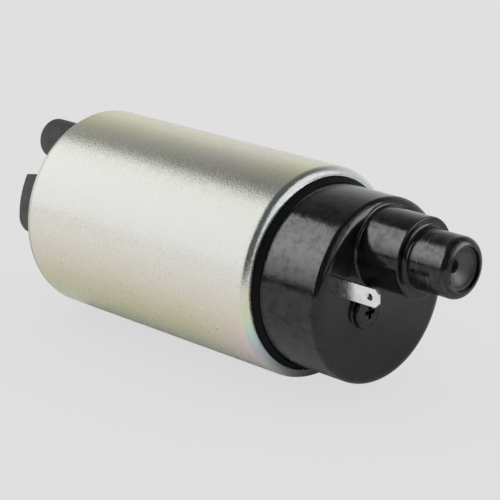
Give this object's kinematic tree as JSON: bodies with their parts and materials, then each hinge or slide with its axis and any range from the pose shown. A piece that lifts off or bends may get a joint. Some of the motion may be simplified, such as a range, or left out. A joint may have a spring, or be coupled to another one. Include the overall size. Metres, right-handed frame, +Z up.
{
  "type": "fuel pump",
  "caption": "In-tank electric fuel pump: rolled steel can, moulded outlet cover with a stepped nozzle and blade terminals, inlet nipple at the far end.",
  "frame": {"origin": "on the pump's axis, at the middle of the can's length", "axes": "+X along the pump's axis towards the outlet, +Z up through the outlet boss, +Y to the negative terminal"},
  "size_m": [0.1049, 0.038, 0.038],
  "materials": {
    "zinc_steel": "satin",
    "black_plastic": "gloss",
    "inlet_plastic": "matte",
    "insert_plastic": "matte",
    "holder_plastic": "matte",
    "insulator_plastic": "matte",
    "phenolic": "matte",
    "rubber": "matte",
    "tinned_brass": "satin",
    "copper": "satin",
    "bronze": "satin",
    "bright_steel": "polished",
    "spring_steel": "satin",
    "core_steel": "satin",
    "ferrite": "matte",
    "carbon": "matte"
  },
  "bodies": {
    "pump_body": {"can": "zinc_steel", "outlet_cover": "black_plastic", "cover_seal": "rubber", "nozzle_insert": "insert_plastic", "check_valve_spring": "spring_steel", "relief_valve_spring": "spring_steel", "relief_valve_plug": "black_plastic", "terminal_positive": "tinned_brass", "terminal_negative": "tinned_brass", "choke_core_positive": "ferrite", "choke_core_negative": "ferrite", "choke_coil_positive": "copper", "choke_coil_negative": "copper", "brush_holder": "holder_plastic", "brush_spring_positive": "spring_steel", "brush_spring_negative": "spring_steel", "brush_lead_positive": "copper", "brush_lead_negative": "copper", "upper_bearing": "bronze", "lower_bearing": "bronze", "magnet_upper": "ferrite", "magnet_lower": "ferrite", "magnet_clip_left": "spring_steel", "magnet_clip_right": "spring_steel", "pump_casing": "inlet_plastic", "pump_cover": "inlet_plastic", "thrust_disc": "bright_steel"},
    "rotor": {"shaft": "bright_steel", "armature_core": "core_steel", "core_insulators": "insulator_plastic", "armature_windings": "copper", "commutator_hub": "phenolic", "commutator_segments": "carbon", "impeller": "phenolic"},
    "check_poppet": {"check_valve_poppet": "holder_plastic"},
    "relief_ball": {"relief_valve_ball": "bright_steel"},
    "positive_brush": {"brush_positive": "carbon"},
    "negative_brush": {"brush_negative": "carbon"}
  },
  "joints": [
    {"name": "rotor_spin", "type": "hinge", "parent": "pump_body", "child": "rotor", "pos_m": [0, 0, 0], "axis": [1, 0, 0], "continuous": true},
    {"name": "check_valve_slide", "type": "slide", "parent": "pump_body", "child": "check_poppet", "axis": [1, 0, 0], "range_m": [0, 0.0018], "stiffness_N_per_m": 60, "springref_m": -0.001, "deforming": ["check_valve_spring"]},
    {"name": "relief_valve_slide", "type": "slide", "parent": "pump_body", "child": "relief_ball", "axis": [1, 0, 0], "range_m": [0, 0.0008], "stiffness_N_per_m": 600, "springref_m": -0.001, "deforming": ["relief_valve_spring"]},
    {"name": "positive_brush_slide", "type": "slide", "parent": "pump_body", "child": "positive_brush", "axis": [1, 0, 0], "range_m": [0, 0.002], "stiffness_N_per_m": 150, "springref_m": -0.003, "deforming": ["brush_spring_positive", "brush_lead_positive"]},
    {"name": "negative_brush_slide", "type": "slide", "parent": "pump_body", "child": "negative_brush", "axis": [1, 0, 0], "range_m": [0, 0.002], "stiffness_N_per_m": 150, "springref_m": -0.003, "deforming": ["brush_spring_negative", "brush_lead_negative"]}
  ]
}
